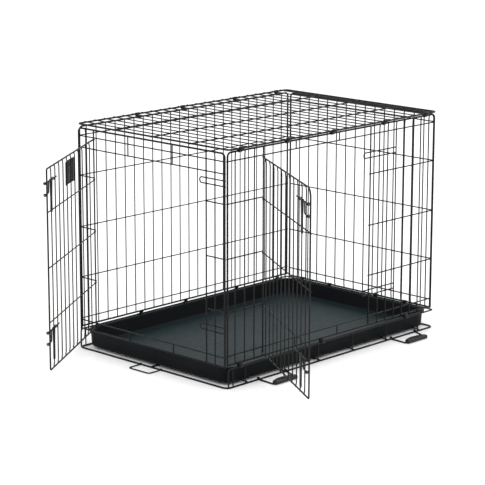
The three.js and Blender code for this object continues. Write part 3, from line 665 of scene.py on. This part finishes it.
def door(prefix, hinge, turn, nodes, top_corner):
    """A door's hoop, eyes, uprights, cross wires and bolt guides."""
    bundle = Bundle()
    middle = door_at(DOOR_WIDTH, (DOOR_BOTTOM_Z + DOOR_TOP_Z) / 2, DOOR_LAYER)
    lower = [
        door_at(EYE_REACH, DOOR_BOTTOM_Z, DOOR_LAYER),
        door_at(DOOR_WIDTH, DOOR_BOTTOM_Z, DOOR_LAYER),
        middle,
    ]
    upper = [
        middle,
        door_at(DOOR_WIDTH, DOOR_TOP_Z, DOOR_LAYER),
        door_at(EYE_REACH, DOOR_TOP_Z, DOOR_LAYER),
    ]
    hoop = rounded(lower, DOOR_CORNER_R)[:-1] + rounded(upper, top_corner, 8)[1:]
    bundle.wire(hoop, HOOP_R, ROUND)
    for z in (DOOR_BOTTOM_Z, *DOOR_CROSS_Z, DOOR_TOP_Z):
        eye(bundle, z)
    spacing = DOOR_WIDTH / DOOR_UPRIGHTS
    places = [(i + 1) * spacing for i in range(DOOR_UPRIGHTS - 1)]
    for u in places:
        ends = lapped(door_at, u, DOOR_BOTTOM_Z, DOOR_TOP_Z, DOOR_LAYER, DOOR_LAYER + DOOR_LAP, 5, 12)
        bundle.wire(ends, DOOR_FILL_R)
        for z in (DOOR_BOTTOM_Z, DOOR_TOP_Z):
            bundle.weld(door_at(u, z, DOOR_LAYER + 0.6), DOOR_WELD)
    for z in DOOR_CROSS_Z:
        ends = (EYE_REACH, DOOR_WIDTH + 1.2)
        bundle.wire([door_at(u, z, DOOR_CROSS_LAYER) for u in ends], DOOR_FILL_R)
        for u in (*places, DOOR_WIDTH):
            bundle.weld(door_at(u, z, (DOOR_LAYER + DOOR_CROSS_LAYER) / 2), DOOR_CROSSING_WELD)
    for z in BOLT_Z.values():
        bolt_guide(bundle, DOOR_WIDTH, z + BOLT_RISE)
        bolt_guide(bundle, DOOR_WIDTH, z - BOLT_RISE)
        bolt_guide(bundle, places[GUIDE_UPRIGHT], z + BOLT_RISE)
    bundle.make(f"{prefix}_door_wires", f"{prefix}_door", "wire_coat", nodes, turn, hinge)


door("front", FRONT_HINGE, FRONT_TURN, ["front_door"], DOOR_CORNER_R)
door("side", SIDE_HINGE, SIDE_TURN, ["side_door"], SIDE_DOOR_TOP_CORNER_R)


def bolt(prefix, level, hinge, turn):
    """A slide bolt: a long rod with a branch that turns down and out to the latch edge."""
    upper = BOLT_Z[level] + BOLT_RISE
    lower = BOLT_Z[level] - BOLT_RISE
    rods = Bundle()
    rods.wire([door_at(u, upper, BOLT_LAYER) for u in (BOLT_BACK_U, BOLT_TIP_U)], BOLT_R, FINE)
    branch = [
        door_at(BOLT_BRANCH_U, upper, BOLT_LAYER),
        door_at(BOLT_BRANCH_U, lower, BOLT_LAYER),
        door_at(BOLT_TIP_U, lower, BOLT_LAYER),
    ]
    rods.wire(rounded(branch, BOLT_BEND_R, 6), BOLT_R, FINE)
    rods.weld(door_at(BOLT_BRANCH_U, upper - 0.8, BOLT_LAYER), BRANCH_WELD)
    for u in (PADDLE_U - EAR_OFFSET, PADDLE_U + EAR_OFFSET):
        rods.weld(door_at(u, upper, BOLT_LAYER), EAR_R, EAR_FLATNESS)
    name = f"{prefix}_door_bolt_{level}"
    rods.make(f"{name}_rod", name, "clip_coat", [name], turn, hinge)


def outline_plate(bundle, outline, thickness, place, crown=0.0):
    """A plate from an outline in (u, z), with rounded edges and an outer face that may be crowned."""
    base = len(bundle.vertices)
    outline = [np.array(p, float) for p in outline]
    count = len(outline)
    centre = sum(outline) / count
    edge = thickness * 0.22
    levels = ((0.0, edge), (edge, 0.0), (thickness - edge, 0.0), (thickness, edge))
    for depth, inset in levels:
        for p in outline:
            towards = unit(centre - p)
            q = p + towards * inset
            bundle.vertices.append(np.array(place(q[0], q[1], depth)))
    for ring_index in range(len(levels) - 1):
        for k in range(count):
            a = base + ring_index * count + k
            b = base + ring_index * count + (k + 1) % count
            bundle.faces.append((a, b, b + count, a + count))
    inner = len(bundle.vertices)
    bundle.vertices.append(np.array(place(centre[0], centre[1], 0.0)))
    bundle.vertices.append(np.array(place(centre[0], centre[1], thickness + crown)))
    last = base + (len(levels) - 1) * count
    for k in range(count):
        bundle.faces.append((inner, base + (k + 1) % count, base + k))
        bundle.faces.append((inner + 1, last + k, last + (k + 1) % count))


# The paddle's sleeve as (radius, place along the bolt), and its blade as (height below the bolt, half width).
SLEEVE_R, SLEEVE_BORE_R, SLEEVE_HALF = 3.8, 2.35, 7.0
SLEEVE_PROFILE = (
    (SLEEVE_R, -SLEEVE_HALF + 0.7),
    (SLEEVE_R - 0.5, -SLEEVE_HALF),
    (SLEEVE_BORE_R, -SLEEVE_HALF),
    (SLEEVE_BORE_R, SLEEVE_HALF),
    (SLEEVE_R - 0.5, SLEEVE_HALF),
    (SLEEVE_R, SLEEVE_HALF - 0.7),
)
BLADE_WIDTHS = (
    (-2.9, 8.3),
    (-12, 8.0),
    (-24, 6.6),
    (-48, 5.2),
    (-74, 4.9),
    (-84, 5.4),
    (-88.4, 4.4),
    (-90.2, 2.0),
)
BLADE_T, BLADE_CROWN = 4.0, 0.5
BLADE_RIBS_Z, BLADE_RIB_HALF, BLADE_RIB_OUT = (-70, -74, -78, -82), 3.4, 2.1


def paddle_sleeve(blade, rod_z):
    """The sleeve that a paddle turns on its bolt by."""
    steps = 24
    start = len(blade.vertices)
    for k in range(steps):
        angle = 2 * math.pi * k / steps
        for radius, along in SLEEVE_PROFILE:
            across, rise = radius * math.cos(angle), radius * math.sin(angle)
            blade.vertices.append(np.array((PADDLE_U + along, -BOLT_LAYER + across, rod_z + rise)))
    size = len(SLEEVE_PROFILE)
    for k in range(steps):
        for i in range(size):
            a = start + k * size + i
            b = start + k * size + (i + 1) % size
            c = start + ((k + 1) % steps) * size + (i + 1) % size
            d = start + ((k + 1) % steps) * size + i
            blade.faces.append((a, b, c, d))


def paddle(prefix, level, hinge, turn):
    """A moulded blade that hangs from a sleeve on the bolt: waisted, with a ribbed thumb rest at its tip."""
    rod_z = BOLT_Z[level] + BOLT_RISE
    blade = Bundle()
    paddle_sleeve(blade, rod_z)

    def on_blade(u, z, depth):
        return (PADDLE_U + u, -BOLT_LAYER + BLADE_T / 2 - depth, rod_z + z)

    right = [(half, z) for z, half in BLADE_WIDTHS]
    outline = right + [(-half, z) for half, z in right[::-1]]
    outline_plate(blade, outline, BLADE_T, on_blade, BLADE_CROWN)
    for z in BLADE_RIBS_Z:
        ends = (PADDLE_U - BLADE_RIB_HALF, PADDLE_U + BLADE_RIB_HALF)
        blade.wire([(u, -BOLT_LAYER - BLADE_RIB_OUT, rod_z + z) for u in ends], 0.8, 8)
    name = f"{prefix}_door_paddle_{level}"
    blade.make(f"{name}_blade", name, "black_plastic", [name], turn, hinge)


for prefix, hinge, turn in (("front", FRONT_HINGE, FRONT_TURN), ("side", SIDE_HINGE, SIDE_TURN)):
    for level in BOLT_Z:
        bolt(prefix, level, hinge, turn)
        paddle(prefix, level, hinge, turn)

# ---------------------------------------------------------------- badge plate, blank
BADGE_U, BADGE_W, BADGE_H, BADGE_Z, BADGE_BOW, BADGE_T = 220, 92, 68, 586, 2.5, 1.8
BADGE_CORNER_R, BADGE_RIM, BADGE_RIM_R, BADGE_STEP = 6, 0.9, 0.7, 6
BADGE_GAP = 0.2


def badge_outline():
    """The badge's outline in (u, z): a rounded rectangle in short steps, so that the plate can bow."""
    left, right = BADGE_U - BADGE_W / 2, BADGE_U + BADGE_W / 2
    low, high = BADGE_Z - BADGE_H / 2, BADGE_Z + BADGE_H / 2
    corners = [(BADGE_U, 0, low), (right, 0, low), (right, 0, high), (left, 0, high), (left, 0, low)]
    corners.append(corners[0])
    path = rounded(corners, BADGE_CORNER_R, 5)
    outline = []
    for start, end in zip(path, path[1:]):
        steps = max(1, int(np.linalg.norm(end - start) // BADGE_STEP))
        outline += [(start + (end - start) * k / steps)[[0, 2]] for k in range(steps)]
    return outline


def on_badge(u, z, depth):
    share = (u - BADGE_U) / (BADGE_W / 2)
    inside = DOOR_LAYER + FILL_R + BADGE_GAP
    return (u, -(inside + BADGE_BOW * (1 - share * share) + depth), z)


badge = Bundle()
outline = badge_outline()
outline_plate(badge, outline, BADGE_T, on_badge)
badge_middle = np.array((BADGE_U, BADGE_Z))
rim = [badge_middle + (point - badge_middle) * BADGE_RIM for point in outline]
badge.wire([on_badge(u, z, BADGE_T) for u, z in rim], BADGE_RIM_R, 8, closed=True)
badge.make("badge_cover", "front_door", "black_plastic", ["badge_plate"], FRONT_TURN, FRONT_HINGE)


# ---------------------------------------------------------------- tray
# Inset from the rim and height of each of the tray's rings, from its underside round the rim to the floor.
TRAY_RINGS = (
    (15.5, TRAY_BOTTOM_Z + 0.2),
    (12.5, TRAY_BOTTOM_Z + 1.2),
    (10, TRAY_BOTTOM_Z + 5),
    (6.6, TRAY_TOP_Z - 6),
    (5.6, TRAY_TOP_Z - 4),
    (2.2, TRAY_TOP_Z - 3.6),
    (0.6, TRAY_TOP_Z - 2.8),
    (0.3, TRAY_TOP_Z - 1.4),
    (1.0, TRAY_TOP_Z - 0.3),
    (2.6, TRAY_TOP_Z),
    (6.0, TRAY_TOP_Z - 0.2),
    (8.2, TRAY_TOP_Z - 1.6),
    (9.2, TRAY_TOP_Z - 4.4),
    (12.6, TRAY_BOTTOM_Z + 9),
    (14.4, TRAY_BOTTOM_Z + 5),
    (18.5, TRAY_BOTTOM_Z + 3),
    (24, TRAY_BOTTOM_Z + 2.6),
    (33, TRAY_BOTTOM_Z + 2.6),
    (36, TRAY_BOTTOM_Z + 3.6),
    (40, TRAY_BOTTOM_Z + 4.0),
)


def tray():
    """A pan with sloping walls, a rolled rim and a raised floor panel."""
    steps = 10
    pan = Bundle()
    for inset, z in TRAY_RINGS:
        radius = TRAY_CORNER_R - inset
        for corner, (sx, sy) in enumerate(((1, 1), (-1, 1), (-1, -1), (1, -1))):
            for k in range(steps + 1):
                angle = (corner + k / steps) * math.pi / 2
                x = sx * (TRAY_X - TRAY_CORNER_R) + radius * math.cos(angle)
                y = sy * (TRAY_Y - TRAY_CORNER_R) + radius * math.sin(angle)
                pan.vertices.append(np.array((x, y, z), float))
    size = 4 * (steps + 1)
    for ring in range(len(TRAY_RINGS) - 1):
        for k in range(size):
            a, b = ring * size + k, ring * size + (k + 1) % size
            pan.faces.append((a, b, b + size, a + size))
    pan.faces.append(tuple(reversed(range(size))))
    last = (len(TRAY_RINGS) - 1) * size
    pan.faces.append(tuple(last + k for k in range(size)))
    pan.make("tray_pan", "tray", "tray_plastic", ["tray"])


tray()

# ---------------------------------------------------------------- pan stop and carry handles
def curl(centre, axis, start, end, radius):
    """Points of a part circle round a floor wire; axis is the axis that the wire runs along."""
    points = []
    for k in range(13):
        angle = math.radians(start + (end - start) * k / 12)
        a, b = radius * math.cos(angle), radius * math.sin(angle)
        offset = (0, a, b) if axis == "x" else (a, 0, b)
        points.append(tuple(np.array(centre, float) + np.array(offset)))
    return points


def pan_stop():
    """A bail across the front of the tray, with two small curls round the floor wire at each end."""
    stop = Bundle()
    corners = [
        (-BASE_X - STOP_ROOT, -STOP_HALF, FLOOR_Z),
        (-BASE_X - STOP_REACH, -STOP_HALF, FLOOR_Z),
        (-BASE_X - STOP_REACH, STOP_HALF, FLOOR_Z),
        (-BASE_X - STOP_ROOT, STOP_HALF, FLOOR_Z),
    ]
    stop.wire(rounded(corners, STOP_BEND_R), STOP_R, ROUND)
    for end in (-STOP_HALF, STOP_HALF):
        for y in (end - CURL_WIRE_R, end + CURL_WIRE_R):
            turn = curl((-BASE_X, y, FLOOR_Z), "y", CURL_FROM, CURL_TO, CURL_R)
            stop.wire(turn, CURL_WIRE_R, 8)
    stop.make("pan_stop_wire", "pan_stop", "wire_coat", ["pan_stop"])


def carry_bail(number, x):
    """The bent wire of a carry handle, whose ends curl round the floor wire."""
    bail = Bundle()
    half, tip = HANDLE_ROOT / 2, HANDLE_TIP / 2
    root_y = -BASE_Y - HANDLE_CURL_R - 2
    tip_y = -BASE_Y - HANDLE_REACH
    corners = [
        (x - half, root_y, FLOOR_Z),
        (x - tip - HANDLE_SKEW, tip_y, FLOOR_Z),
        (x + tip - HANDLE_SKEW, tip_y, FLOOR_Z),
        (x + half, root_y, FLOOR_Z),
    ]
    path = rounded(corners, HANDLE_BEND_R)
    left = curl((x - half, -BASE_Y, FLOOR_Z), "x", CURL_FROM, CURL_TO, HANDLE_CURL_R)
    right = curl((x + half, -BASE_Y, FLOOR_Z), "x", CURL_TO, CURL_FROM, HANDLE_CURL_R)
    bail.wire(left + path[1:-1] + right, HANDLE_R, ROUND)
    name = f"carry_handle_bail_{number}"
    bail.make(name, f"carry_handle_{number}", "wire_coat", [f"carry_handle_wire_{number}"])


def carry_grip(number, x):
    """A moulded grip, arched inside and thickest in the middle, with domed ends and finger ribs."""
    grip = Bundle()
    y = -BASE_Y - HANDLE_REACH
    middle = x - HANDLE_SKEW
    half_length = HANDLE_TIP / 2 + 0.5
    steps, sides = 28, 16
    for i in range(steps + 1):
        share = (i / steps - 0.5) * 2
        arch = 1 - share * share
        inner_edge = GRIP_HALF_DEPTH + GRIP_ARCH * arch
        outer_edge = -GRIP_HALF_DEPTH
        past = max(0.0, (abs(share) - GRIP_DOME_FROM) / GRIP_DOME_SPAN)
        dome = max(math.sqrt(max(0.0, 1 - past**2)), GRIP_LEAST)
        centre_y = y + (inner_edge + outer_edge) / 2
        half_y = (inner_edge - outer_edge) / 2 * dome
        half_z = GRIP_HALF_HEIGHT * dome * (1 - 0.12 * arch)  # a little flatter where it is widest
        for k in range(sides):
            angle = 2 * math.pi * (k + 0.5) / sides
            c, s = math.cos(angle), math.sin(angle)
            corner = (abs(c) ** 4 + abs(s) ** 4) ** -0.25  # makes the section a soft-cornered box
            across, rise = c * corner * half_y, s * corner * half_z
            place = (middle + share * half_length, centre_y + across, GRIP_Z + rise)
            grip.vertices.append(np.array(place))
    for i in range(steps):
        for k in range(sides):
            a, b = i * sides + k, i * sides + (k + 1) % sides
            grip.faces.append((a, a + sides, b + sides, b))
    grip.faces.append(tuple(range(sides)))
    grip.faces.append(tuple(steps * sides + k for k in reversed(range(sides))))
    for offset in range(-3, 4):
        rib_x = middle + offset * GRIP_RIB_PITCH
        share = offset * GRIP_RIB_PITCH / half_length
        reach = GRIP_HALF_DEPTH + GRIP_ARCH * (1 - share * share)
        ends = (y - 4.5, y + reach - 3.5)
        grip.wire([(rib_x, end, GRIP_RIB_Z) for end in ends], GRIP_RIB_R, 8)
    grip.make(
        f"carry_handle_grip_cover_{number}",
        f"carry_handle_{number}",
        "black_plastic",
        [f"carry_handle_grip_{number}"],
    )


pan_stop()
for number, x in enumerate(HANDLE_X, 1):
    carry_bail(number, x)
    carry_grip(number, x)


# ---------------------------------------------------------------- clips
def strap(name, body, node, first, second, gap, middle, axis):
    """A clip: a sheet strap bent round two wires that run along the axis.

    first and second are the wires' places across the axis, middle is the strap's own place along it, and gap
    is the stretch of the loop that is left open, as two shares of the loop.
    """
    clip = Bundle()
    (ay, az), (by, bz) = first, second
    tilt = math.atan2(bz - az, by - ay)
    radius = CLIP_INNER + CLIP_WALL / 2
    steps = 12
    loop = []
    for (y, z), start in ((second, tilt - math.pi / 2), (first, tilt + math.pi / 2)):
        for k in range(steps + 1):
            c, s = math.cos(start + math.pi * k / steps), math.sin(start + math.pi * k / steps)
            loop.append((y + radius * c, z + radius * s, c, s))
    count = len(loop)
    begin, finish = int(gap[0] * count), int(gap[1] * count)
    order = [loop[(finish + k) % count] for k in range(count - (finish - begin))]
    half, thick, edge = CLIP_LENGTH / 2, CLIP_WALL / 2, 0.35
    section = (
        (-half + edge, thick),
        (half - edge, thick),
        (half, thick - edge),
        (half, -thick + edge),
        (half - edge, -thick),
        (-half + edge, -thick),
        (-half, -thick + edge),
        (-half, thick - edge),
    )
    for p, q, c, s in order:
        for along, out in section:
            a, b = p + c * out, q + s * out
            place = (middle + along, a, b) if axis == "x" else (b, middle + along, a)
            clip.vertices.append(np.array(place, float))
    size = len(section)
    for i in range(len(order) - 1):
        for k in range(size):
            a, b = i * size + k, i * size + (k + 1) % size
            clip.faces.append((a, b, b + size, a + size))
    clip.faces.append(tuple(reversed(range(size))))
    clip.faces.append(tuple((len(order) - 1) * size + k for k in range(size)))
    clip.make(name, body, "clip_coat", [node])


def side_clips(kind, body, places, first, second, gap, end="clip"):
    """A row of straps along one side of the crate, numbered from the front."""
    for number, pitches in enumerate(places, 1):
        name = f"{kind}_{end}_strap_{number}"
        strap(name, body, f"{kind}_{end}_{number}", first, second, gap, along_x(pitches), "x")


far_rail, far_bottom = (SIDE_Y, SIDE_RAIL_Z), (SIDE_Y, SIDE_BOTTOM_Z)
near_rail, near_bottom = (-SIDE_Y, SIDE_RAIL_Z), (-SIDE_Y, SIDE_BOTTOM_Z)
far_wall, near_wall = (BASE_Y, BASE_RAIL_Z), (-BASE_Y, BASE_RAIL_Z)
far_edge, near_edge = (TOP_EDGE_Y, TOP_Z), (-TOP_EDGE_Y, TOP_Z)
side_clips("far_top", "far_side", FAR_CLIPS, far_rail, far_edge, (0.48, 0.52))
side_clips("far_base", "base", FAR_CLIPS, far_wall, far_bottom, (0.02, 0.3))
side_clips("near_top", "top", NEAR_TOP_CLIPS, near_rail, near_edge, (0.62, 0.98), "hook")
side_clips("near_base", "base", NEAR_BASE_CLIPS, near_wall, near_bottom, (0.2, 0.48))
back_wall, back_bottom = (BASE_RAIL_Z, BASE_X), (END_BOTTOM_Z, END_X)
for number, pitches in enumerate(BACK_CLIPS, 1):
    name, y = f"back_clip_strap_{number}", pitches * back_pitch
    strap(name, "base", f"back_clip_{number}", back_wall, back_bottom, (0.48, 0.52), y, "y")

for node in ("front_door_collar", "side_door_collar"):
    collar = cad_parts[node]
    collar.data.materials.clear()
    collar.data.materials.append(clip_coat)

# ---------------------------------------------------------------- floor, light
FLOOR, WORLD_STRENGTH = 30.0, 1.12
floor_mesh = bpy.data.meshes.new("floor")
floor_corners = [(-FLOOR, -FLOOR, 0), (FLOOR, -FLOOR, 0), (FLOOR, FLOOR, 0), (-FLOOR, FLOOR, 0)]
floor_mesh.from_pydata(floor_corners, [], [(0, 1, 2, 3)])
floor = bpy.data.objects.new("floor", floor_mesh)
bpy.context.scene.collection.objects.link(floor)
floor_mesh.materials.append(node_material("floor", (0.93, 0.93, 0.93), 0.9)[0])

world = bpy.data.worlds.new("studio")
bpy.context.scene.world = world
world.use_nodes = True
world.node_tree.nodes["Background"].inputs["Color"].default_value = (1, 1, 1, 1)
world.node_tree.nodes["Background"].inputs["Strength"].default_value = WORLD_STRENGTH
bpy.context.scene.view_settings.view_transform = "Standard"


def area_light(name, place, target, size, power):
    light = bpy.data.lights.new(name, "AREA")
    light.shape = "DISK"
    light.size = size
    light.energy = power
    lamp = bpy.data.objects.new(name, light)
    bpy.context.scene.collection.objects.link(lamp)
    lamp.location = place
    lamp.rotation_mode = "QUATERNION"
    lamp.rotation_quaternion = (Vector(target) - Vector(place)).to_track_quat("-Z", "Y")


area_light("key", (-1.6, -2.4, 3.6), (0, 0, 0.3), 2.6, 60)
area_light("fill", (2.8, 1.6, 3.0), (0, 0, 0.3), 3.2, 30)
